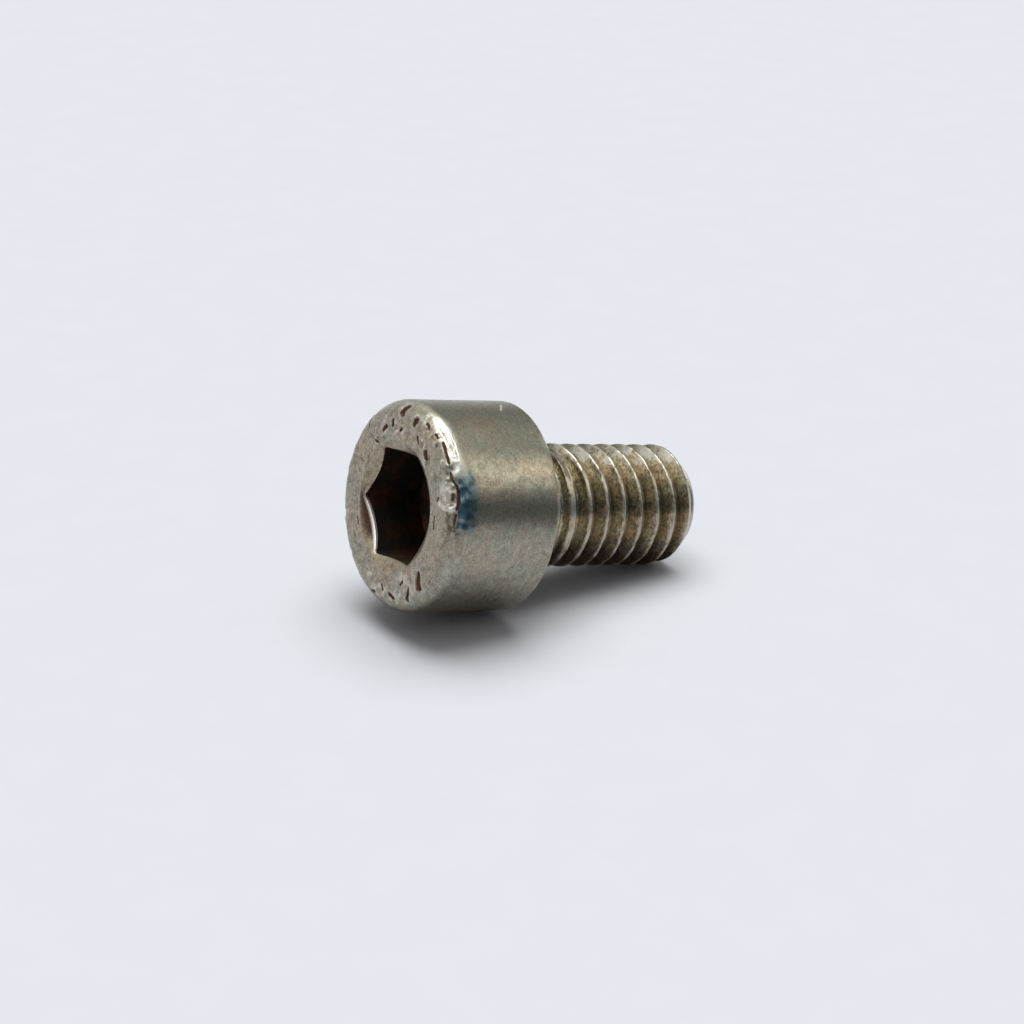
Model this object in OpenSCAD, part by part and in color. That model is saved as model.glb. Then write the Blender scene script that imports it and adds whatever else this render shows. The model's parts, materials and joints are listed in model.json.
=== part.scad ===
// Hexagon socket head cap screw, M6 x 10, with a right-handed coarse thread cut to the head.
// It lies as it comes to rest on a flat table: on the rim of its bearing face and on the last
// ridge of its thread, with its axis leaning down toward the tip.
//
// The origin is the middle of the bearing face, on the axis. +Z is up and +X is the way the shank
// points, seen from above. Every module draws the screw upright in its own frame, with the shank
// along +Z and the head below, and angles about the axis are counted from the side that meets
// the table.

/* [Head] */
// Diameter of the head
head_d = 9.95; // [9.4:0.05:12]
// Height of the head, from the bearing face to the top
head_h = 5.9; // [4.8:0.1:8]
// Radius of the rounded edge between the side and the top
head_corner_r = 0.8; // [0.3:0.1:1.2]
// Bevel on the outer edge of the bearing face
rim_bevel = 0.12; // [0.05:0.01:0.3]

/* [Socket] */
// Width across the flats of the hexagon
hex_af = 5.05; // [4:0.05:5.3]
// Width across the rounded corners of the hexagon
hex_corners = 5.74; // [5.4:0.02:5.9]
// Depth of the flats, from the top of the head
hex_depth = 3.1; // [2.4:0.1:3.7]
// Diameter of the countersink, on the top of the head
mouth_d = 6.15; // [5.95:0.05:6.8]
// Angle between opposite walls of the countersink
mouth_angle = 120; // [90:5:140]
// Angle between opposite walls of the drilled point below the flats
point_angle = 120; // [110:2:150]
// Angle of one corner of the hexagon about the axis
hex_turn = 21.5; // [0:0.5:59.5]

/* [Shank] */
// Length of the shank, from the bearing face to the tip
shank_len = 10; // [8:0.5:30]
// Outer diameter of the thread
thread_d = 5.95; // [5.8:0.01:6.2]
// Distance from crest to crest
pitch = 1; // [0.75:0.05:1.25]
// Length of the 45 degree bevel at the tip
tip_bevel = 0.7; // [0.3:0.1:1.1]
// Radius of the fillet between the bearing face and the shank
neck_fillet = 0.25; // [0.1:0.05:0.4]
// Distance from the bearing face to the first trace of the groove
thread_start = 0.46; // [0.4:0.02:2]
// Angle about the axis at which the groove begins
thread_turn = 145; // [0:5:355]
// Turns over which the groove sinks to its full depth
run_in = 3.5; // [0.5:0.5:5]

/* [Smoothness] */
// Flat steps in one turn of the groove
turn_steps = 36; // [24:4:60]
// Flat steps across the rounded root of the groove
root_steps = 2; // [2:1:6]

/* [Hidden] */
$fn = 96;
over = 0.5;

head_r = head_d / 2;
thread_r = thread_d / 2;
point_depth = hex_af / 2 / tan(point_angle / 2);

// ISO metric thread: a 60 degree V of sharp height vee_h. The crest is an eighth of the pitch
// wide, and the root is an arc of root_r that touches both flanks.
vee_h = pitch / 2 / tan(30);
crest_w = pitch / 8;
root_r = vee_h / 6;
thread_depth = 17 / 24 * vee_h;
root_centre = thread_r - thread_depth + root_r;
// The cutter stays below the sharp crest, so that its own turns never meet.
cutter_r = thread_r + vee_h / 10;
lift_max = thread_depth + vee_h / 100;

// On the side that meets the table, the thread can touch with the far edge of its last whole
// crest, or with the next ridge where its flank runs into the bevel of the tip.
full_len = shank_len - tip_bevel;
first_crest = thread_start + pitch * (1 / 2 - thread_turn / 360);
whole_turns = floor((full_len - crest_w / 2 - first_crest) / pitch);
crest_end = first_crest + pitch * whole_turns + crest_w / 2;
ridge_drop = max(0, crest_end + pitch - crest_w - full_len) / (1 + tan(30));

// The angle at which the axis leans when the head's rim and a point of the thread are both down.
function lean(r, z) = atan((head_r - r) / (z + rim_bevel));

crest_lean = lean(thread_r, crest_end);
ridge_lean = lean(thread_r - ridge_drop, full_len + ridge_drop);
rest_tilt = ridge_drop < tip_bevel ? min(crest_lean, ridge_lean) : crest_lean;

// Half the width of the groove at radius r, when it is cut to its full depth.
function half_width(r) = pitch / 2 - crest_w / 2 - (thread_r - r) * tan(30);

// How far the groove is lifted out of the shank after some turns.
function lift(turns) = lift_max * pow(1 - min(turns / run_in, 1), 2);

// The groove's section as points [radius, distance along the axis], with its root lifted by up.
function groove_section(up) = concat(
    [[cutter_r, -half_width(cutter_r - up)]],
    [for (k = [0 : root_steps])
        let (a = -60 + 120 * k / root_steps)
        [root_centre - root_r * cos(a) + up, root_r * sin(a)]],
    [[cutter_r, half_width(cutter_r - up)]]);

// The head and the shank before the socket and the thread are cut. The seam of the round faces
// is on the side away from the table, between two sections of the groove.
module blank() {
    rotate(180)
    rotate_extrude() {
        difference() {
            translate([0, -head_h]) square([head_r, head_h]);
            translate([head_r - head_corner_r, -head_h]) corner(head_corner_r);
            translate([head_r, 0]) rotate(45) square(rim_bevel * sqrt(2), center = true);
        }
        translate([thread_r + neck_fillet, 0]) mirror([1, 0]) corner(neck_fillet);
        polygon([
            [0, 0],
            [thread_r, 0],
            [thread_r, shank_len - tip_bevel],
            [thread_r - tip_bevel, shank_len],
            [0, shank_len],
        ]);
    }
}

// What a round edge of radius r leaves of a square with its right angle at [r, 0].
module corner(r) {
    difference() {
        square(r);
        translate([0, r]) circle(r);
    }
}

// The hexagon with its corners rounded off, the countersink at its mouth and the drilled point.
module socket() {
    mouth_r = mouth_d / 2;
    mouth_depth = mouth_r / tan(mouth_angle / 2);
    translate([0, 0, -head_h]) {
        intersection() {
            translate([0, 0, -over])
                rotate(hex_turn)
                cylinder(d = hex_af / cos(30), h = hex_depth + over, $fn = 6);
            translate([0, 0, -over]) cylinder(d = hex_corners, h = hex_depth + over);
        }
        rotate_extrude()
            polygon([[0, -over], [mouth_r, -over], [mouth_r, 0], [0, mouth_depth]]);
        translate([0, 0, hex_depth]) cylinder(r1 = hex_af / 2, r2 = 0, h = point_depth);
    }
}

// The helical groove that leaves the thread standing. It sinks in near the head and leaves
// through the tip.
module thread_groove() {
    steps = ceil((shank_len + 0.6 * pitch - thread_start) / pitch * turn_steps);
    n = root_steps + 3;
    points = [
        for (i = [0 : steps])
            let (a = 360 * i / turn_steps, z = thread_start + pitch * i / turn_steps)
            for (p = groove_section(lift(i / turn_steps)))
                [p[0] * cos(a), p[0] * sin(a), z + p[1]]];
    sides = [
        for (i = [0 : steps - 1], k = [0 : n - 1])
            let (a = i * n + k, b = i * n + (k + 1) % n)
            each [[a, a + n, b], [b, a + n, b + n]]];
    ends = [
        [for (k = [0 : n - 1]) k],
        [for (k = [n - 1 : -1 : 0]) steps * n + k]];
    rotate(thread_turn) polyhedron(points, concat(sides, ends));
}

module cap_screw() {
    color([0.6, 0.58, 0.54])
        rotate([0, 90 + rest_tilt, 0])
        difference() {
            blank();
            socket();
            thread_groove();
        }
}

cap_screw();
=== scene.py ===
import json
import math

import bmesh
import bpy
import numpy as np
from mathutils import Matrix, Vector


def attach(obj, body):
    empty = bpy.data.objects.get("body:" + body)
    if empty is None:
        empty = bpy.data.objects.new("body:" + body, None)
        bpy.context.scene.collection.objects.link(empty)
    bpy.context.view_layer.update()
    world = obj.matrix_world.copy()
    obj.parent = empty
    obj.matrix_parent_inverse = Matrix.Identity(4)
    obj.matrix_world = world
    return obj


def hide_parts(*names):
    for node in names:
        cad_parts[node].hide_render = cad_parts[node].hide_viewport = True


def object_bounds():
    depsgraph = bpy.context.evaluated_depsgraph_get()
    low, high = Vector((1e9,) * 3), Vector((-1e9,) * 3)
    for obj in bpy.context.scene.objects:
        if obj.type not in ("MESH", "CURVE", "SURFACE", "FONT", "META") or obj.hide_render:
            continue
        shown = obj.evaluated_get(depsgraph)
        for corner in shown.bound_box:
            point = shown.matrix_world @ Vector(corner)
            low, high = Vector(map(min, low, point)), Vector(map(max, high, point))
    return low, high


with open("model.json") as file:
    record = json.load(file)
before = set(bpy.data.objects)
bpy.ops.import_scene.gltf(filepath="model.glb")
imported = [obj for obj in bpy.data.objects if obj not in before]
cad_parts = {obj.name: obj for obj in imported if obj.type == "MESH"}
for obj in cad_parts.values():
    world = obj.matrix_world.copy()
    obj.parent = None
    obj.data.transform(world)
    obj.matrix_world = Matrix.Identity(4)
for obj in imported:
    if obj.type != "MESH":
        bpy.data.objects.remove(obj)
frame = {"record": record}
cad_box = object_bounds()
floor_z = cad_box[0].z

# The screw's own frame, in millimetres: the origin is the middle of the bearing face, +Z runs
# along the shank to the tip, and angles are counted from the side that lies on the table.
mount = {m["name"]: m for m in frame["record"]["mounts"]}["thread"]
origin = Vector(mount["pos_m"])
shank_way = Vector(mount["axis"]).normalized()
sideways = Vector((0, 1, 0))
down_way = sideways.cross(shank_way)
place = Matrix.Identity(4)
for column, way in enumerate((down_way, sideways, shank_way)):
    for row in range(3):
        place[row][column] = way[row]
place.translation = origin

# The sizes of the part's source. Widths across are given as their halves.
HEAD_R = 4.975
HEAD_H = 5.9
CORNER_R = 0.8
RIM = 0.12
MOUTH_R = 3.075
HEX_FLAT = 2.525
HEX_CORNER = 2.87
HEX_DEPTH = 3.1
HEX_TURN = 21.5
THREAD_R = 2.975
SHANK = 10.0
PITCH = 1.0
BEVEL = 0.7
FILLET = 0.25
GROOVE_START = 0.46
GROOVE_TURN = 145.0
RUN_IN = 3.5

# The countersink and the drilled point are cones of 120 degrees, and the thread is a V of 60.
CONE_SLOPE = math.tan(math.radians(60))
HALF_VEE = math.radians(30)
CREST_W = PITCH / 8
VEE_H = PITCH / 2 / math.tan(HALF_VEE)
ROOT_R = VEE_H / 6
GROOVE = 17 / 24 * VEE_H

# On the head, rho is the distance from the axis along the surface: over the flat face, the
# rounded edge and down the side.
HEAD_TOP = -HEAD_H
FLAT_R = HEAD_R - CORNER_R
ARC_END = FLAT_R + CORNER_R * math.pi / 2
SIDE_END = ARC_END + HEAD_H - CORNER_R - RIM

# The materials of the one mesh, by slot number.
HEAD_SKIN, THREAD_SKIN, SOCKET_SKIN = 0, 1, 2


# ---------------------------------------------------------------- noise and small shapes

def lattice_noise(points, size, seed):
    """Smooth noise between -1 and 1 with features of that size, the same on every run."""
    cells = 32
    table = np.random.default_rng(seed).random((cells, cells, cells)) * 2 - 1
    # the seed also picks one of five places in the table to start from
    p = points / size + 7.3 * (1 + seed % 5)
    cell = np.floor(p).astype(int)
    f = p - cell
    f = f * f * (3 - 2 * f)
    total = np.zeros(len(points))
    for corner in np.ndindex(2, 2, 2):
        fx, fy, fz = np.where(corner, f, 1 - f).T
        total += fx * fy * fz * table[tuple(((cell + corner) % cells).T)]
    return total


def around(r, s, angle):
    """Points on a ring of radius r at distance s along the axis."""
    r = np.broadcast_to(r, angle.shape)
    s = np.broadcast_to(s, angle.shape)
    return np.stack([r * np.cos(angle), r * np.sin(angle), s], 1)


def off_middle(angle, middle, half):
    """How far angles lie from a middle, in units of half. Middle and half are in degrees."""
    return np.abs((np.degrees(angle) - middle + 180) % 360 - 180) / half


def on_head(rho, angle):
    """Points and outward directions of the plain head."""
    bend = np.clip((rho - FLAT_R) / CORNER_R, 0, math.pi / 2)
    r = np.minimum(rho, FLAT_R + CORNER_R * np.sin(bend))
    s = HEAD_TOP + CORNER_R * (1 - np.cos(bend)) + np.maximum(rho - ARC_END, 0)
    points = np.stack([r * np.cos(angle), r * np.sin(angle), s], -1)
    out = np.stack([np.sin(bend) * np.cos(angle), np.sin(bend) * np.sin(angle), -np.cos(bend)], -1)
    return points, out


class Skin:
    """Rings of points round the axis, joined into one closed surface.

    Each point has a value in every layer. soil is residue, and on the shank the depth in the
    groove. wear is rubbed metal, blue marks a painted bluish reflection on the metal, and bald
    is where the thread's film is gone. across is a distance along the surface, which lays out
    streaks round the axis.
    """

    LAYERS = ("soil", "wear", "blue", "bald", "across")

    def __init__(self):
        self.points = []
        self.layers = {name: [] for name in self.LAYERS}
        self.count = 0
        self.faces = []
        self.slots = []

    def lay(self, points, **values):
        """Adds points with their values in the layers, and returns their numbers."""
        self.points.append(points)
        for name, layer in self.layers.items():
            layer.append(np.broadcast_to(values.get(name, 0.0), len(points)).astype(float))
        self.count += len(points)
        return np.arange(self.count - len(points), self.count)

    def ring(self, r, s, angle, **values):
        """Adds a ring of points."""
        values.setdefault("across", s)
        return self.lay(around(r, s, angle), **values)

    def bands(self, rings, slot):
        """Quads between rings that follow each other on the way from the socket to the tip."""
        for a, b in zip(rings, rings[1:]):
            quads = np.stack([a, np.roll(a, -1), np.roll(b, -1), b], 1)[:, ::-1]
            self.faces.extend(quads.tolist())
            self.slots.extend([slot] * len(quads))

    def join(self, a, angle_a, b, angle_b, slot):
        """Triangles from ring a to a ring b with another number of points."""
        i = j = 0
        na, nb = len(a), len(b)
        while i < na or j < nb:
            next_a = angle_a[i + 1] if i + 1 < na else angle_a[0] + 2 * math.pi
            next_b = angle_b[j + 1] if j + 1 < nb else angle_b[0] + 2 * math.pi
            if j >= nb or (i < na and next_a <= next_b):
                self.faces.append([int(a[i % na]), int(b[j % nb]), int(a[(i + 1) % na])])
                i += 1
            else:
                self.faces.append([int(a[i % na]), int(b[j % nb]), int(b[(j + 1) % nb])])
                j += 1
            self.slots.append(slot)

    def cap(self, ring, s, slot):
        """Closes a ring with triangles to a point on the axis."""
        centre = int(self.ring(0.0, s, np.zeros(1))[0])
        for k in range(len(ring)):
            self.faces.append([int(ring[k]), int(ring[(k + 1) % len(ring)]), centre])
            self.slots.append(slot)


# ---------------------------------------------------------------- marks on the head

# Each cut: its line of points (rho, angle in degrees), half width, depth, and the height of the
# metal thrown up to its left and to its right. These hold residue.
DIRTY_CUTS = [
    ([(4.70, 172.5), (4.52, 171.0), (4.34, 170.5)], 0.10, 0.16, 0.02, 0.03),
    ([(3.62, 172.0), (3.52, 169.5)], 0.055, 0.08, 0.0, 0.03),
    ([(4.58, 133.0), (4.40, 131.0)], 0.05, 0.08, 0.0, 0.0),
    ([(3.78, 150.5), (3.66, 146.0)], 0.075, 0.13, 0.03, 0.03),
    ([(3.45, 134.0), (3.30, 135.5)], 0.04, 0.06, 0.0, 0.04),
    ([(3.98, 160.5), (3.74, 159.5)], 0.06, 0.10, 0.03, 0.0),
    ([(2.97, 146.5), (2.95, 151.0), (3.0, 158.0)], 0.03, 0.03, 0.02, 0.0),
    ([(4.33, -173.5), (4.12, -174.5)], 0.09, 0.14, 0.03, 0.03),
    ([(4.62, -163.5), (4.55, -160.5)], 0.045, 0.07, 0.02, 0.0),
    ([(3.72, -166.5), (3.58, -163.0)], 0.055, 0.08, 0.03, 0.0),
    ([(4.66, -153.2), (4.68, -150.8)], 0.04, 0.06, 0.0, 0.02),
    ([(4.80, -145.5), (4.78, -141.0), (4.77, -133.2)], 0.045, 0.06, 0.0, 0.0),
    ([(3.64, -151.5), (3.48, -147.5)], 0.075, 0.08, 0.0, 0.03),
    ([(4.73, -127.5), (4.76, -123.5), (4.94, -119.5), (5.0, -116.7)], 0.04, 0.10, 0.0, 0.0),
    ([(5.0, -116.7), (4.99, -111.2), (4.92, -107.5)], 0.05, 0.11, 0.0, 0.0),
    ([(4.86, -104.5), (4.80, -98.8)], 0.035, 0.07, 0.0, 0.0),
    ([(3.75, -114.4), (3.69, -112.9)], 0.05, 0.05, 0.02, 0.0),
    ([(4.74, -115.0), (4.71, -113.0)], 0.06, 0.06, 0.0, 0.0),
    ([(3.72, -52.5), (4.02, -49.0), (4.32, -47.5)], 0.09, 0.16, 0.02, 0.02),
    ([(4.05, -36.0), (4.42, -32.5)], 0.075, 0.13, 0.03, 0.02),
    ([(3.55, -30.5), (3.70, -26.5)], 0.045, 0.07, 0.02, 0.0),
    ([(4.28, -17.5), (4.12, -12.5)], 0.06, 0.11, 0.02, 0.03),
    ([(3.85, -2.0), (4.05, -4.5)], 0.04, 0.06, 0.02, 0.0),
    ([(4.40, 5.0), (4.52, 9.0)], 0.05, 0.08, 0.0, 0.04),
    ([(3.41, -100.8), (3.48, -91.5)], 0.028, 0.03, 0.0, 0.0),
    ([(3.3, 56.0), (3.3, 62.0)], 0.03, 0.03, 0.0, 0.01),
]
# These are bare: fine scratches on the rubbed corner, and shallow dents round the rim.
BARE_CUTS = [
    ([(4.93, -156.0), (4.98, -148.0), (5.0, -141.0)], 0.03, 0.03, 0.02, 0.02),
    ([(5.13, -152.0), (5.15, -144.0), (5.12, -137.0)], 0.03, 0.03, 0.02, 0.02),
    ([(5.26, -155.0), (5.28, -145.0), (5.24, -134.0)], 0.025, 0.025, 0.015, 0.015),
    ([(4.35, 67.0), (4.9, 66.0)], 0.13, 0.06, 0.0, 0.0),
    ([(4.1, 41.0), (4.8, 43.0)], 0.11, 0.05, 0.0, 0.0),
    ([(4.3, 92.0), (4.9, 90.0)], 0.16, 0.035, 0.0, 0.0),
    ([(4.6, 25.0), (4.9, 22.0)], 0.09, 0.05, 0.0, 0.02),
]
# Raised spots: line of points, half width, height.
PADS = [
    ([(4.20, 152.0)], 0.09, 0.06),
    ([(3.95, 138.0), (3.75, 136.5)], 0.055, 0.06),
    ([(3.42, 147.0), (3.50, 151.0)], 0.05, 0.05),
    ([(3.40, 163.5), (3.48, 165.5)], 0.10, 0.06),
    ([(3.88, -159.5)], 0.09, 0.09),
    ([(4.44, -136.0)], 0.11, 0.06),
    ([(3.57, -134.0)], 0.12, 0.04),
    ([(4.2, -133.0)], 0.10, 0.05),
    ([(4.3, -119.2), (4.5, -113.5)], 0.34, 0.06),
    ([(3.8, -110.8), (4.15, -108.4), (4.6, -107.0), (4.85, -108.2)], 0.125, 0.075),
    ([(4.15, -24.5), (4.30, -22.5)], 0.08, 0.05),
    ([(4.62, -10.0), (4.74, -12.0)], 0.06, 0.05),
    ([(3.80, 14.0), (3.95, 17.5)], 0.11, 0.06),
    ([(5.0, -153.0), (5.1, -143.0), (5.06, -134.0)], 0.16, 0.02),
]
# A bright scratch on the side: the rhos of its two ends, and their angles.
SCRATCH = ((9.56, 9.13), (179.7, 187.5))

# What the listed sizes of the cuts are multiplied by.
CUT_WIDTH, CUT_DEPTH, CUT_LIP = 1.3, 0.6, 0.7
# A cut deeper than DEEP_CUT heaves up the metal within about HEAVED of it.
DEEP_CUT, HEAVED = 0.05, 0.42


def from_line(points, line):
    """Distance of points from a line on the head, and on which side of it they lie."""
    rho, angle = np.array(line, float).T
    ends, outs = on_head(rho, np.radians(angle))
    if len(ends) == 1:
        return np.linalg.norm(points - ends[0], axis=1), np.ones(len(points))
    best = np.full(len(points), np.inf)
    side = np.zeros(len(points))
    for a, b, out in zip(ends, ends[1:], outs):
        way = b - a
        share = np.clip((points - a) @ way / (way @ way), 0, 1)
        away = points - (a + share[:, None] * way)
        far = np.linalg.norm(away, axis=1)
        side = np.where(far < best, np.sign(away @ np.cross(out, way)), side)
        best = np.minimum(best, far)
    return best, side


def marks(points):
    """Height of the marks over the plain surface, and how much residue and wear they hold."""
    ragged = 1 + 0.30 * lattice_noise(points, 0.14, 21) + 0.18 * lattice_noise(points, 0.07, 22)
    height, soil, wear, near = np.zeros((4, len(points)))
    for cuts, dirt in ((DIRTY_CUTS, 1), (BARE_CUTS, 0)):
        for line, width, depth, left, right in cuts:
            far, side = from_line(points, line)
            if depth > DEEP_CUT:
                near = np.maximum(near, np.exp(-((far / HEAVED) ** 2)))
            d = far / (CUT_WIDTH * width) * ragged
            lip = CUT_LIP * np.exp(-(((d - 2.0) / 0.75) ** 2)) * np.where(side > 0, left, right)
            height += lip - CUT_DEPTH * depth * np.exp(-(d**4))
            soil = np.maximum(soil, dirt * np.exp(-((d / 1.2) ** 3.5)))
            wear = np.maximum(wear, np.minimum(lip / 0.05, 1))
    uneven = 1 + 0.5 * lattice_noise(points, 0.12, 23)
    for line, width, rise in PADS:
        d = from_line(points, line)[0] / width * ragged
        height += rise * np.exp(-(d**2) * 1.2)
        wear = np.maximum(wear, 14 * rise * uneven * np.exp(-(d**4)))
    # the metal is heaved up in lumps round the deeper cuts, and their tops are rubbed
    lumps = lattice_noise(points, 0.24, 24) * near * (1 - soil)
    height += 0.07 * lumps
    wear = np.maximum(wear, 1.8 * np.clip(lumps - 0.10, 0, 0.5))
    return height, soil, np.minimum(wear, 1.7) * (1 - soil)


# ---------------------------------------------------------------- the screw's surface

def head_columns():
    """Angles of the head's columns, with one at each end of each rounding of the hexagon."""
    rounding, step = 1.62, 0.6
    turns = np.arange(0, 60, step)
    turns[3] = rounding
    turns[-3] = 60 - rounding
    return np.radians(HEX_TURN + np.concatenate([turns + 60 * k for k in range(6)]))


def head_rows():
    """The rhos of the head's rings, close together on the face and its rounded edge."""
    return np.concatenate(
        [
            [MOUTH_R + 0.02],
            np.linspace(MOUTH_R + 0.06, FLAT_R, 31),
            np.linspace(FLAT_R, ARC_END, 36)[1:],
            ARC_END + np.array([0.05, 0.11, 0.18]),
            np.linspace(ARC_END + 0.3, SIDE_END - 0.04, 16),
        ]
    )


def add_socket(body, angle):
    """The socket and its countersink. Returns the ring next to the flat face."""
    from_flat = np.radians((np.degrees(angle) - HEX_TURN) % 60 - 30)
    hexagon = np.minimum(HEX_FLAT / np.cos(from_flat), HEX_CORNER)
    mouth_at = HEAD_TOP + (MOUTH_R - hexagon) / CONE_SLOPE

    # the drilled point, the floor and the walls
    walls = []
    for r in (0.6, 1.3, 2.0, HEX_FLAT - 0.03):
        deep = HEX_DEPTH + (HEX_FLAT - r) / CONE_SLOPE
        walls.append(body.ring(r, HEAD_TOP + deep, angle))
    body.cap(walls[0], HEAD_TOP + HEX_DEPTH + HEX_FLAT / CONE_SLOPE, SOCKET_SKIN)
    walls.append(body.ring(hexagon, HEAD_TOP + HEX_DEPTH, angle))
    for share in (0.04, 0.2, 0.4, 0.6, 0.8, 0.92):
        s = (HEAD_TOP + HEX_DEPTH) * (1 - share) + (mouth_at + 0.05) * share
        walls.append(body.ring(hexagon, s, angle))

    # the edge of one side of the hexagon is rubbed round and bright
    bright = 2 * np.exp(-(off_middle(angle, 51, 30) ** 8))
    worn = np.exp(-(off_middle(angle, 80, 60) ** 8))
    walls.append(body.ring(hexagon - 0.01 * worn, mouth_at + 0.03 + 0.16 * worn, angle, wear=bright))
    body.bands(walls, SOCKET_SKIN)
    r, s = hexagon + 0.017 - 0.05 * worn, mouth_at + 0.004 + 0.06 * worn
    cone = [walls[-1], body.ring(r, s, angle, wear=bright)]
    r, s = hexagon + 0.055, mouth_at - 0.05 / CONE_SLOPE
    cone.append(body.ring(r, s, angle, wear=0.4 * bright))

    # the countersink is darker and browner beside that side
    darker_patch = np.exp(-(off_middle(angle, 62, 24) ** 4))
    for share in (0.15, 0.4, 0.7, 0.94):
        r = (hexagon + 0.05) * (1 - share) + MOUTH_R * share
        s = HEAD_TOP + (MOUTH_R - r) / CONE_SLOPE
        dull = 0.1 + 0.95 * darker_patch * (1 - 0.9 * share)
        cone.append(body.ring(r, s, angle, soil=dull, across=r))
    body.bands(cone, HEAD_SKIN)
    return cone[-1]


def add_head(body, angle, first):
    """The face, its rounded edge and the side, with the marks, and the bearing face's rim."""
    rings = [first]
    under = off_middle(angle, 0, 1) < 30
    for rho in head_rows():
        points, out = on_head(np.full(len(angle), rho), angle)
        bend = min(max((rho - FLAT_R) / CORNER_R, 0), math.pi / 2)
        edge = math.sin(2 * bend)
        height, soil, wear = marks(points)
        ripple = 0.006 * lattice_noise(points, 0.8, 3) + 0.003 * lattice_noise(points, 0.2, 4)
        ripple += 0.012 * edge * lattice_noise(points, 0.45, 5) - 0.009
        beaten = np.clip((5.3 - rho) / 0.3, 0, 1)
        beaten = beaten * np.clip(0.6 + lattice_noise(points, 1.6, 6), 0, 1)
        ripple += 0.017 * beaten * lattice_noise(points, 0.30, 7)
        height = (height + ripple) * min(1.0, (rho - MOUTH_R) / 0.15)
        # the head's round side and the part near the table keep within the turned shape
        room = 0.045 * math.cos(bend) ** 2 + 0.038 * edge if bend < 1.5 else 0.0
        height = np.minimum(height, np.where(under, -0.004, room))
        points += height[:, None] * out
        # beside the marks the edge is rubbed bright, and next to that a bluish reflection is painted
        # on
        rubbed = np.exp(-(off_middle(angle, -145, 19) ** 4) - ((rho - 5.15) / 0.36) ** 4)
        wear = np.maximum(wear, 0.9 * rubbed * (1 - soil))
        blue = np.exp(-(off_middle(angle, -112, 19.5) ** 3))
        blue = blue * np.clip((rho - 4.87) / 0.12, 0, 1) * np.clip((6.35 - rho) / 0.6, 0, 1)
        rings.append(body.lay(points, soil=soil, wear=wear, blue=blue, across=rho))
    rings.append(body.ring(HEAD_R - 0.01, -RIM, angle, wear=0.5, across=SIDE_END))
    rings.append(body.ring(HEAD_R - 0.035, -RIM + 0.03, angle, wear=0.5, across=SIDE_END))
    rings.append(body.ring(HEAD_R - RIM - 0.01, -0.004, angle, across=SIDE_END))
    rings.append(body.ring(HEAD_R - RIM - 0.05, 0.0, angle, across=SIDE_END))
    rings.append(body.ring(4.0, 0.0, angle, soil=0.2, across=SIDE_END + 1))
    body.bands(rings, HEAD_SKIN)
    return rings[-1]


def add_neck(body, angle):
    """The bearing face's inner part and the fillet. Returns the first and the last ring."""
    rings = [body.ring(THREAD_R + FILLET + 0.03, 0.0, angle, soil=0.5)]
    for k in range(1, 5):
        a = math.pi / 2 * k / 4
        r = THREAD_R + FILLET * (1 - math.sin(a))
        rings.append(body.ring(r, FILLET * (1 - math.cos(a)), angle, soil=0.6))
    body.bands(rings, THREAD_SKIN)
    return rings[0], rings[-1]


def groove_turn(angle):
    """Where an angle lies on the groove, in turns from the angle at which the groove begins."""
    return (np.degrees(angle) - GROOVE_TURN) / 360


def thread_radius(s, angle):
    """Radius of the threaded shank and how deep the place lies in the groove, from 0 to 1."""
    turn = groove_turn(angle)
    where = around(THREAD_R, s, angle)
    nearest = np.round((s - GROOVE_START) / PITCH - turn)
    centre = GROOVE_START + (turn + nearest) * PITCH
    # the groove wanders a little, and its upper edges are ragged
    wander = 0.022 * lattice_noise(where, 0.6, 11)
    ragged = 0.040 * lattice_noise(where, 0.26, 15)
    ragged = ragged * np.clip((np.abs(s - centre) - 0.34) / 0.08, 0, 1)
    off = np.abs(s - centre + wander) + ragged
    # it sinks in near the head, and before its beginning there is none
    cut = turn + nearest
    up = (GROOVE + VEE_H / 100) * (1 - np.clip(cut / RUN_IN, 0, 1)) ** 2
    up = np.where(cut < 0, 2.0, up)
    root = THREAD_R - GROOVE + ROOT_R - np.sqrt(np.maximum(ROOT_R**2 - off**2, 0))
    flank = THREAD_R - (PITCH / 2 - CREST_W / 2 - off) / math.tan(HALF_VEE)
    groove = np.where(off < ROOT_R * math.cos(HALF_VEE), root, flank) + up
    # the crests are a little rounded and rubbed down in places
    blunt = 0.012
    crest = THREAD_R - 0.02 * np.clip(lattice_noise(where, 0.7, 12), 0, 1)
    gap = (groove - crest) / blunt
    r = crest - blunt * np.log1p(np.exp(-np.clip(gap, -60, 60)))
    r += 0.002 * lattice_noise(where, 0.22, 13) - 0.002
    # the bevel is rubbed down where it begins
    cone = THREAD_R - BEVEL + 0.81 * (SHANK - s)
    r = np.minimum(r, cone)
    depth = np.clip((np.minimum(THREAD_R, cone) - 0.008 - r) / GROOVE, 0, 1)
    return r, depth


def thread_rows(angle):
    """Rows of points that follow the thread, as distances along the axis, from neck to tip."""
    low, high = FILLET + 0.04, SHANK
    half = np.array([0.0, 0.06, 0.125, 0.2, 0.28, 0.35, 0.40, 0.43, 0.452])
    profile = np.sort(np.concatenate([half, -half[1:], [0.5]]))
    rows = [np.full(len(angle), low)]
    for k in range(-1, 12):
        for u in profile:
            s = GROOVE_START + (groove_turn(angle) + k) * PITCH + u * PITCH
            if s.max() > low and s.min() < high:
                rows.append(np.clip(s, low, high))
    rows.append(np.full(len(angle), high))
    return rows


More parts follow.
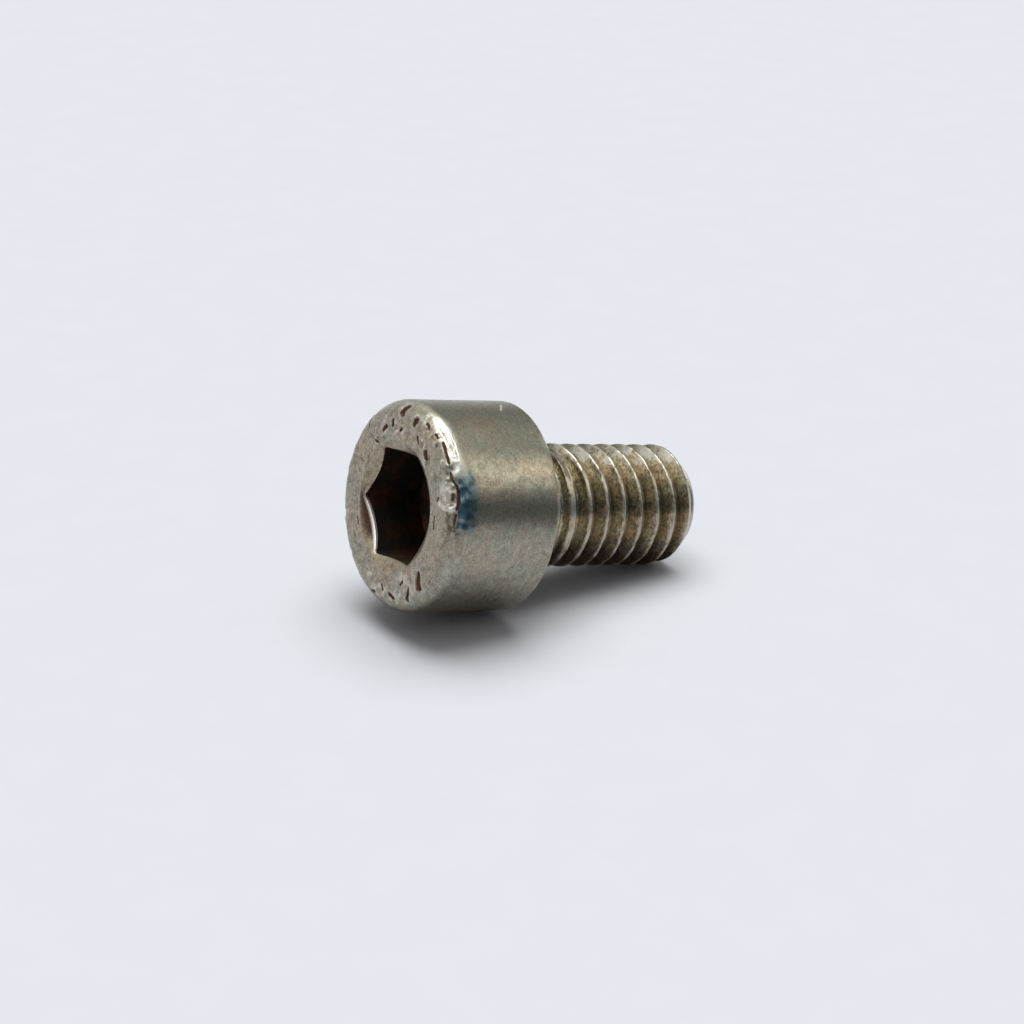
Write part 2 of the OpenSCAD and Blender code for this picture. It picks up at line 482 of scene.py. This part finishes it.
def add_thread(body, angle, first):
    """The threaded shank, its bevel and its end face."""
    rings = [first]
    for s in thread_rows(angle):
        r, depth = thread_radius(s, angle)
        where = around(THREAD_R, s, angle)
        wear = np.clip(1 - depth * 9, 0, 1) * (s > 0.6)
        uneven = np.clip(0.8 + 0.8 * lattice_noise(where, 0.3, 14), 0, 1)
        wear *= uneven * np.clip(0.25 + 0.25 * s, 0, 1)
        # the bevel of the tip is bare
        on_bevel = np.clip((s - SHANK + BEVEL) / 0.15, 0, 1) * (depth < 0.1)
        wear = np.maximum(wear, 1.8 * on_bevel)
        # on top, the flank that faces the head is rubbed bare
        in_turn = ((s - GROOVE_START) / PITCH - groove_turn(angle) + 0.5) % 1
        toward_crest = np.clip((in_turn - 0.6) / 0.3, 0, 1)
        bald = np.exp(-(off_middle(angle, -173, 9 + 15 * toward_crest) ** 3))
        bald *= np.minimum(1.5 * toward_crest, 1)
        bald *= np.clip(0.72 + 1.0 * lattice_noise(where, 0.3, 16), 0, 1)
        rings.append(body.ring(r, s, angle, soil=depth, wear=wear, bald=bald))
    for r in (2.24, 1.9, 1.0):
        rings.append(body.ring(r, SHANK, angle, soil=0.1, wear=0.2))
    body.bands(rings, THREAD_SKIN)
    body.cap(rings[-1], SHANK, THREAD_SKIN)


def make_mesh(body, name):
    """The body as a mesh in metres, still in the screw's own frame, with its layers."""
    points = np.concatenate(body.points) / 1000
    mesh = bpy.data.meshes.new(name)
    mesh.from_pydata(points.tolist(), [], body.faces)
    mesh.polygons.foreach_set("material_index", body.slots)
    for layer_name, values in body.layers.items():
        layer = mesh.attributes.new(layer_name, "FLOAT", "POINT")
        layer.data.foreach_set("value", np.concatenate(values).astype(np.float32))
    # the materials are laid out in this frame
    own_place = mesh.attributes.new("own_place", "FLOAT_VECTOR", "POINT")
    own_place.data.foreach_set("vector", points.astype(np.float32).ravel())

    sharp = math.radians(38)
    closest = 2e-7
    bm = bmesh.new()
    bm.from_mesh(mesh)
    bmesh.ops.remove_doubles(bm, verts=bm.verts, dist=closest)
    bmesh.ops.recalc_face_normals(bm, faces=bm.faces)
    for face in bm.faces:
        face.smooth = True
    for edge in bm.edges:
        if len(edge.link_faces) == 2 and edge.calc_face_angle(0) > sharp:
            edge.smooth = False
    bm.to_mesh(mesh)
    bm.free()
    return mesh


SHANK_COLUMNS = 160
head_angle = head_columns()
shank_angle = np.radians(np.arange(SHANK_COLUMNS) * 360 / SHANK_COLUMNS)
body = Skin()
head_last = add_head(body, head_angle, add_socket(body, head_angle))
neck_first, neck_last = add_neck(body, shank_angle)
body.join(head_last, head_angle % (2 * math.pi), neck_first, shank_angle, HEAD_SKIN)
add_thread(body, shank_angle, neck_last)
mesh = make_mesh(body, "screw_body")
mesh.transform(place)
screw = bpy.data.objects.new("screw_body", mesh)
bpy.context.scene.collection.objects.link(screw)


# ---------------------------------------------------------------- node helpers

def put(tree, value, socket):
    """Links a socket's source, or sets its own value."""
    if hasattr(value, "links"):
        tree.links.new(value, socket)
    elif isinstance(value, tuple) and socket.type == "RGBA":
        socket.default_value = (*value, 1)
    else:
        socket.default_value = value


def grey(value):
    return (value, value, value)


def new_material(name):
    mat = bpy.data.materials.new(name)
    mat.use_nodes = True
    return mat, mat.node_tree, mat.node_tree.nodes["Principled BSDF"]


def ramp(tree, source, *stops):
    """A colour ramp. Each stop is a position and a colour, or a position and a level of grey."""
    node = tree.nodes.new("ShaderNodeValToRGB")
    while len(node.color_ramp.elements) < len(stops):
        node.color_ramp.elements.new(0.5)
    for element, (at, colour) in zip(node.color_ramp.elements, stops):
        element.position = at
        element.color = (*(colour if isinstance(colour, tuple) else grey(colour)), 1)
    tree.links.new(source, node.inputs["Fac"])
    return node.outputs["Color"]


def noise(tree, vector, size_mm, detail=3.0, rough=0.55):
    node = tree.nodes.new("ShaderNodeTexNoise")
    node.inputs["Scale"].default_value = 1000 / size_mm
    node.inputs["Detail"].default_value = detail
    node.inputs["Roughness"].default_value = rough
    tree.links.new(vector, node.inputs["Vector"])
    return node.outputs["Fac"]


def mix(tree, factor, a, b, kind="MIX"):
    node = tree.nodes.new("ShaderNodeMix")
    node.data_type = "RGBA"
    node.blend_type = kind
    for value, socket in zip((factor, a, b), (node.inputs[0], node.inputs[6], node.inputs[7])):
        put(tree, value, socket)
    return node.outputs[2]


def tint(tree, colour, by, share=1.0):
    """A colour multiplied by another, as far as share goes."""
    return mix(tree, share, colour, by, "MULTIPLY")


def maths(tree, how, *values, clamp=False):
    node = tree.nodes.new("ShaderNodeMath")
    node.operation = how
    node.use_clamp = clamp
    for value, socket in zip(values, node.inputs):
        put(tree, value, socket)
    return node.outputs[0]


def times(tree, value, factor, clamp=False):
    return maths(tree, "MULTIPLY", value, factor, clamp=clamp)


def plus(tree, value, other, factor):
    """value + factor * other"""
    return maths(tree, "ADD", value, times(tree, other, factor))


def one_minus(tree, value):
    return maths(tree, "SUBTRACT", 1.0, value)


def rising(tree, value, low, high):
    """0 at low, 1 at high, and smooth between them. Low may be the larger number."""
    node = tree.nodes.new("ShaderNodeMapRange")
    node.interpolation_type = "SMOOTHSTEP"
    for source, socket in zip((value, low, high), node.inputs):
        put(tree, source, socket)
    return node.outputs[0]


def falling(tree, value, low, high):
    """1 at low, 0 at high, and smooth between them."""
    return one_minus(tree, rising(tree, value, low, high))


def attribute(tree, name, output="Fac"):
    node = tree.nodes.new("ShaderNodeAttribute")
    node.attribute_name = name
    return node.outputs[output]


def own_place_of(tree):
    """Place in the screw's own frame, in metres: toward the table, sideways, toward the tip."""
    return attribute(tree, "own_place", "Vector")


def components(tree, vector):
    split = tree.nodes.new("ShaderNodeSeparateXYZ")
    tree.links.new(vector, split.inputs[0])
    return split.outputs


def bump(tree, height, distance_mm, strength, shader):
    node = tree.nodes.new("ShaderNodeBump")
    node.inputs["Strength"].default_value = strength
    node.inputs["Distance"].default_value = distance_mm / 1000
    tree.links.new(height, node.inputs["Height"])
    tree.links.new(node.outputs["Normal"], shader.inputs["Normal"])


def streaked(tree, along):
    """Coordinates in metres in which noise is drawn out round the axis."""
    down, side, _ = components(tree, own_place_of(tree))
    joined = tree.nodes.new("ShaderNodeCombineXYZ")
    put(tree, times(tree, down, along), joined.inputs[0])
    put(tree, times(tree, side, along), joined.inputs[1])
    put(tree, times(tree, attribute(tree, "across"), 0.001), joined.inputs[2])
    return joined.outputs[0]


def from_segment(tree, where, a, b):
    """Distance in metres of a place from the straight line between two points."""

    def vector_maths(how, *values):
        node = tree.nodes.new("ShaderNodeVectorMath")
        node.operation = how
        for value, socket in zip(values, node.inputs):
            put(tree, value, socket)
        return node

    way = b - a
    away = vector_maths("SUBTRACT", where, tuple(a)).outputs[0]
    share = vector_maths("DOT_PRODUCT", away, tuple(way / (way @ way))).outputs["Value"]
    share = times(tree, share, 1.0, clamp=True)
    along = vector_maths("MULTIPLY", share, tuple(way)).outputs[0]
    return vector_maths("DISTANCE", away, along).outputs["Value"]


# ---------------------------------------------------------------- materials

def head_skin():
    """Dull bright metal with a mottled grain, brown residue in the marks and rubbed burrs."""
    mat, tree, shader = new_material("satin_steel")
    where = own_place_of(tree)
    across = attribute(tree, "across")
    blue = attribute(tree, "blue")
    wear = attribute(tree, "wear")
    soil = attribute(tree, "soil")

    grain = noise(tree, where, 0.075, 2.0, 0.7)
    mottle = noise(tree, where, 0.33, 3.0, 0.65)
    broad = noise(tree, where, 1.4, 2.0)
    dark, middle, light = (0.222, 0.209, 0.173), (0.325, 0.304, 0.253), (0.43, 0.411, 0.352)
    colour = ramp(tree, grain, (0.28, dark), (0.5, middle), (0.72, light))
    by_mottle = ramp(tree, mottle, (0.3, (0.78, 0.77, 0.75)), (0.7, (1.18, 1.18, 1.17)))
    colour = tint(tree, colour, by_mottle)
    by_broad = ramp(tree, broad, (0.35, (1.05, 0.97, 0.91)), (0.65, (0.95, 1.0, 0.98)))
    colour = tint(tree, colour, by_broad)

    # the flat face is a little redder than the turned side, and beaten
    on_face = falling(tree, across, 4.45, 4.6)
    colour = tint(tree, colour, (1.03, 0.975, 0.96), on_face)
    drawn = noise(tree, streaked(tree, 0.3), 0.13, 3.0, 0.7)
    colour = tint(tree, colour, ramp(tree, drawn, (0.33, 0.78), (0.5, 1.02), (0.7, 1.12)), 0.8)
    beaten = ramp(tree, noise(tree, where, 0.30, 2.0), (0.32, (0.74, 0.71, 0.68)), (0.48, 1.03))
    colour = mix(tree, on_face, colour, tint(tree, colour, beaten))
    in_mouth = falling(tree, across, 3.03, 3.1)
    colour = tint(tree, colour, (0.96, 0.93, 0.88), in_mouth)
    # painted shade: the head is darker on its side toward the table
    below = rising(tree, components(tree, where)[0], 0.0041, 0.0052)
    colour = tint(tree, colour, (0.70, 0.68, 0.64), below)

    # painted reflection: where the blue layer is, the corner is painted bluish in place of a
    # reflection
    painted_reflection_share = rising(tree, plus(tree, blue, mottle, 1.2), 0.8, 1.5)
    cloudy = noise(tree, where, 0.4, 3.0)
    bluish_reflection_colour = ramp(tree, cloudy, (0.35, (0.07, 0.098, 0.105)), (0.62, (0.165, 0.24, 0.268)))
    colour = mix(tree, painted_reflection_share, colour, bluish_reflection_colour)

    ends = on_head(np.array(SCRATCH[0]), np.radians(SCRATCH[1]))[0] / 1000
    scratch = falling(tree, from_segment(tree, where, *ends), 0.00003, 0.00009)
    wear = maths(tree, "MAXIMUM", wear, scratch)
    rubbed = times(tree, wear, 0.8, clamp=True)
    colour = mix(tree, rubbed, colour, (0.66, 0.63, 0.57))
    bare = rising(tree, wear, 1.05, 1.6)
    colour = mix(tree, bare, colour, (0.95, 0.93, 0.89))

    patchy = noise(tree, where, 0.12, 2.0)
    dirty = rising(tree, plus(tree, soil, patchy, 0.9), 0.55, 1.15)
    rust = ramp(tree, patchy, (0.35, (0.030, 0.012, 0.007)), (0.62, (0.13, 0.048, 0.020)))
    rust = mix(tree, rising(tree, blue, 0.0, 0.3), rust, (0.055, 0.007, 0.008))
    put(tree, mix(tree, dirty, colour, rust), shader.inputs["Base Color"])

    put(tree, one_minus(tree, times(tree, dirty, 0.8)), shader.inputs["Metallic"])
    dull = mix(tree, rubbed, ramp(tree, mottle, (0.3, 0.36), (0.7, 0.28)), grey(0.50))
    dull = mix(tree, bare, dull, grey(0.6))
    put(tree, mix(tree, dirty, dull, grey(0.75)), shader.inputs["Roughness"])
    bump(tree, grain, 0.015, 0.4, shader)
    return mat


def thread_skin():
    """The same metal under a brown film in the groove, rubbed bright on the crests."""
    mat, tree, shader = new_material("threaded_steel")
    where = own_place_of(tree)
    down, side, _ = components(tree, where)
    depth = attribute(tree, "soil")
    wear = attribute(tree, "wear")

    drawn = streaked(tree, 0.5)
    grain = noise(tree, drawn, 0.08, 2.0, 0.65)
    mottle = noise(tree, drawn, 0.35, 3.0, 0.6)
    broad = noise(tree, where, 1.1, 2.0)
    dark, middle, light = (0.31, 0.255, 0.185), (0.42, 0.355, 0.27), (0.51, 0.45, 0.365)
    film = ramp(tree, mottle, (0.3, dark), (0.5, middle), (0.72, light))
    by_broad = ramp(tree, broad, (0.38, (0.98, 0.92, 0.85)), (0.6, (0.94, 0.98, 0.90)))
    film = tint(tree, film, by_broad)
    film = tint(tree, film, ramp(tree, grain, (0.3, 0.45), (0.7, 1.52)))
    film = mix(tree, rising(tree, depth, 0.5, 1.0), film, (0.19, 0.145, 0.095))
    # painted shade: the film is darker on the side toward the table
    film = tint(tree, film, (0.36, 0.335, 0.30), rising(tree, down, 0.0006, 0.0024))
    # on top the film is duller, and rubbed off in patches
    film = tint(tree, film, (0.70, 0.72, 0.72), rising(tree, down, -0.0008, -0.0024))
    bald = plus(tree, attribute(tree, "bald"), grain, 0.9)
    film = mix(tree, rising(tree, bald, 0.65, 1.35), film, (0.40, 0.39, 0.34))

    rubbed = rising(tree, plus(tree, wear, mottle, 0.6), 0.6, 1.3)
    colour = mix(tree, rubbed, film, (0.46, 0.415, 0.345))
    colour = mix(tree, rising(tree, wear, 1.2, 1.6), colour, (0.50, 0.475, 0.42))
    # one side of the shank is duller
    colour = tint(tree, colour, (0.60, 0.60, 0.57), rising(tree, side, 0.0001, 0.0010))
    put(tree, colour, shader.inputs["Base Color"])

    shader.inputs["Metallic"].default_value = 1.0
    dull = ramp(tree, mottle, (0.3, 0.29), (0.7, 0.21))
    put(tree, mix(tree, wear, dull, grey(0.36)), shader.inputs["Roughness"])
    bump(tree, grain, 0.02, 0.55, shader)
    return mat


def socket_skin():
    """Near-black painted shade, with brown and rusty patches."""
    mat, tree, shader = new_material("shaded_socket_steel")
    where = own_place_of(tree)
    patches = noise(tree, where, 1.3, 3.0)
    # the near-black is painted shade deep in the socket; the brown and the rust are rust patches
    painted_shade_black, brown, rust = (0.012, 0.009, 0.006), (0.07, 0.027, 0.009), (0.13, 0.05, 0.016)
    colour = ramp(tree, patches, (0.45, painted_shade_black), (0.60, brown), (0.72, rust))
    put(tree, colour, shader.inputs["Base Color"])
    shader.inputs["Metallic"].default_value = 0.5
    put(tree, ramp(tree, patches, (0.4, 0.7), (0.7, 0.45)), shader.inputs["Roughness"])
    bump(tree, noise(tree, where, 0.2), 0.02, 0.5, shader)
    return mat


for material in (head_skin(), thread_skin(), socket_skin()):
    mesh.materials.append(material)

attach(screw, "root")
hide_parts("cap_screw")

# ---------------------------------------------------------------- floor, world, lamp, camera

# In metres: half the width of the floor, and how far it lies below the part.
FLOOR_HALF, FLOOR_GAP = 1.5, 0.00002
PAPER = (0.776, 0.806, 0.855)


def floor_skin():
    """Pale paper. Some way off to the right of the camera glossy rays see it painted dark: a painted
    dark reflection for shiny things.
    """
    mat, tree, shader = new_material("pale_paper")
    where = tree.nodes.new("ShaderNodeTexCoord").outputs["Object"]
    darker, lighter = (tuple(share * v for v in PAPER) for share in (0.99, 1.01))
    tone = ramp(tree, noise(tree, where, 3.0), (0.3, darker), (0.7, lighter))
    x, y, _ = components(tree, where)
    # painted reflection: past this line glossy rays see the paper nearly black
    painted_dark_reflection = rising(tree, plus(tree, times(tree, x, 0.59), y, -0.81), 0.022, 0.055)
    shiny = tree.nodes.new("ShaderNodeLightPath").outputs["Is Glossy Ray"]
    tone = mix(tree, times(tree, painted_dark_reflection, shiny), tone, (0.06, 0.06, 0.055))
    put(tree, tone, shader.inputs["Base Color"])
    shader.inputs["Roughness"].default_value = 0.9
    shader.inputs["Specular IOR Level"].default_value = 0.0
    return mat


floor_mesh = bpy.data.meshes.new("floor")
corners = [(x * FLOOR_HALF, y * FLOOR_HALF, 0) for x, y in ((-1, -1), (1, -1), (1, 1), (-1, 1))]
floor_mesh.from_pydata(corners, [], [(0, 1, 2, 3)])
floor_mesh.materials.append(floor_skin())
floor = bpy.data.objects.new("floor", floor_mesh)
floor.location = (0, 0, floor_z - FLOOR_GAP)
bpy.context.scene.collection.objects.link(floor)

# Soft-edged cards that the metal sees: azimuth of the middle from +Y toward +X, height of the
# middle, half width, half height and softness of the edge, all in degrees, and colour.
CARDS = [
    (70, 24, 34, 26, 8, (0.27, 0.28, 0.262)),
    (123, 33, 12, 9, 4, (2.3, 2.2, 1.9)),
    (144, 4, 16, 17, 4, (0.04, 0.042, 0.037)),
    (174, 24, 20, 27, 6, (0.08, 0.22, 0.34)),
    (228, 11, 36, 17, 6, (0.10, 0.085, 0.065)),
    (-92, 8, 16, 17, 5, (0.12, 0.11, 0.11)),
    (-56, 48, 22, 13, 5, (1.6, 1.58, 1.5)),
]


def with_card(tree, way, sky, azimuth, height, half_width, half_height, soft, colour):
    """The sky with one card in it."""
    turned = tree.nodes.new("ShaderNodeVectorRotate")
    turned.rotation_type = "Z_AXIS"
    turned.inputs["Angle"].default_value = math.radians(azimuth)
    tree.links.new(way, turned.inputs["Vector"])
    x, y, z = components(tree, turned.outputs[0])
    aside = maths(tree, "ARCTAN2", x, y)
    up = maths(tree, "ARCSINE", z)
    shares = []
    for angle, middle, half in ((aside, 0.0, half_width), (up, height, half_height)):
        off = maths(tree, "ABSOLUTE", maths(tree, "SUBTRACT", angle, math.radians(middle)))
        shares.append(falling(tree, off, math.radians(half - soft), math.radians(half + soft)))
    return mix(tree, times(tree, *shares), sky, colour)


world = bpy.data.worlds.new("studio")
bpy.context.scene.world = world
world.use_nodes = True
tree = world.node_tree
background = tree.nodes["Background"]
way = tree.nodes.new("ShaderNodeTexCoord").outputs["Generated"]
upward = components(tree, way)[2]
# What the metal sees: a pale backdrop, a bright ceiling and the cards.
sky = ramp(
    tree,
    upward,
    (0.0, (0.78, 0.80, 0.80)),
    (0.7, (0.80, 0.81, 0.80)),
    (0.86, (0.95, 0.95, 0.93)),
    (0.97, (1.2, 1.2, 1.18)),
)
for card in CARDS:
    sky = with_card(tree, way, sky, *card)
rays = tree.nodes.new("ShaderNodeLightPath")
shiny = maths(tree, "MAXIMUM", rays.outputs["Is Glossy Ray"], rays.outputs["Is Transmission Ray"])
# What lights the object comes mostly from above, and the camera sees the paper's colour.
fill = ramp(tree, upward, (0.0, 0.0), (1.0, (0.45, 0.42, 0.435)))
sky = mix(tree, shiny, fill, sky)
sky = mix(tree, rays.outputs["Is Camera Ray"], sky, PAPER)
put(tree, sky, background.inputs["Color"])
background.inputs["Strength"].default_value = 1.0

# The one lamp is high up and broad, so that its shadows are short and soft.
LAMP_AZIMUTH, LAMP_HEIGHT = math.radians(47), math.radians(79.5)
lamp_data = bpy.data.lights.new("overhead", "SUN")
lamp_data.energy = 2.28
lamp_data.angle = math.radians(54)
lamp_data.color = (1.0, 1.02, 1.0)
lamp = bpy.data.objects.new("overhead", lamp_data)
lamp.rotation_mode = "QUATERNION"
lamp.rotation_quaternion = Vector(
    (
        math.cos(LAMP_HEIGHT) * math.sin(LAMP_AZIMUTH),
        math.cos(LAMP_HEIGHT) * math.cos(LAMP_AZIMUTH),
        math.sin(LAMP_HEIGHT),
    )
).to_track_quat("Z", "Y")
lamp.location = (0, 0, 0.5)
bpy.context.scene.collection.objects.link(lamp)

# The camera's place, in millimetres from the part's origin, and the way it looks.
CAMERA_FROM = Vector((-65.666, -103.797, 51.983))
CAMERA_WAY = Vector((0.49572, 0.775, -0.39197))
camera_data = bpy.data.cameras.new("camera")
camera_data.lens = 98.58
camera_data.sensor_width = 36
camera_data.clip_start = 0.005
camera = bpy.data.objects.new("camera", camera_data)
camera.location = origin + CAMERA_FROM / 1000
camera.rotation_mode = "QUATERNION"
camera.rotation_quaternion = CAMERA_WAY.to_track_quat("-Z", "Y")
bpy.context.scene.collection.objects.link(camera)
bpy.context.scene.camera = camera
bpy.context.scene.view_settings.view_transform = "Standard"
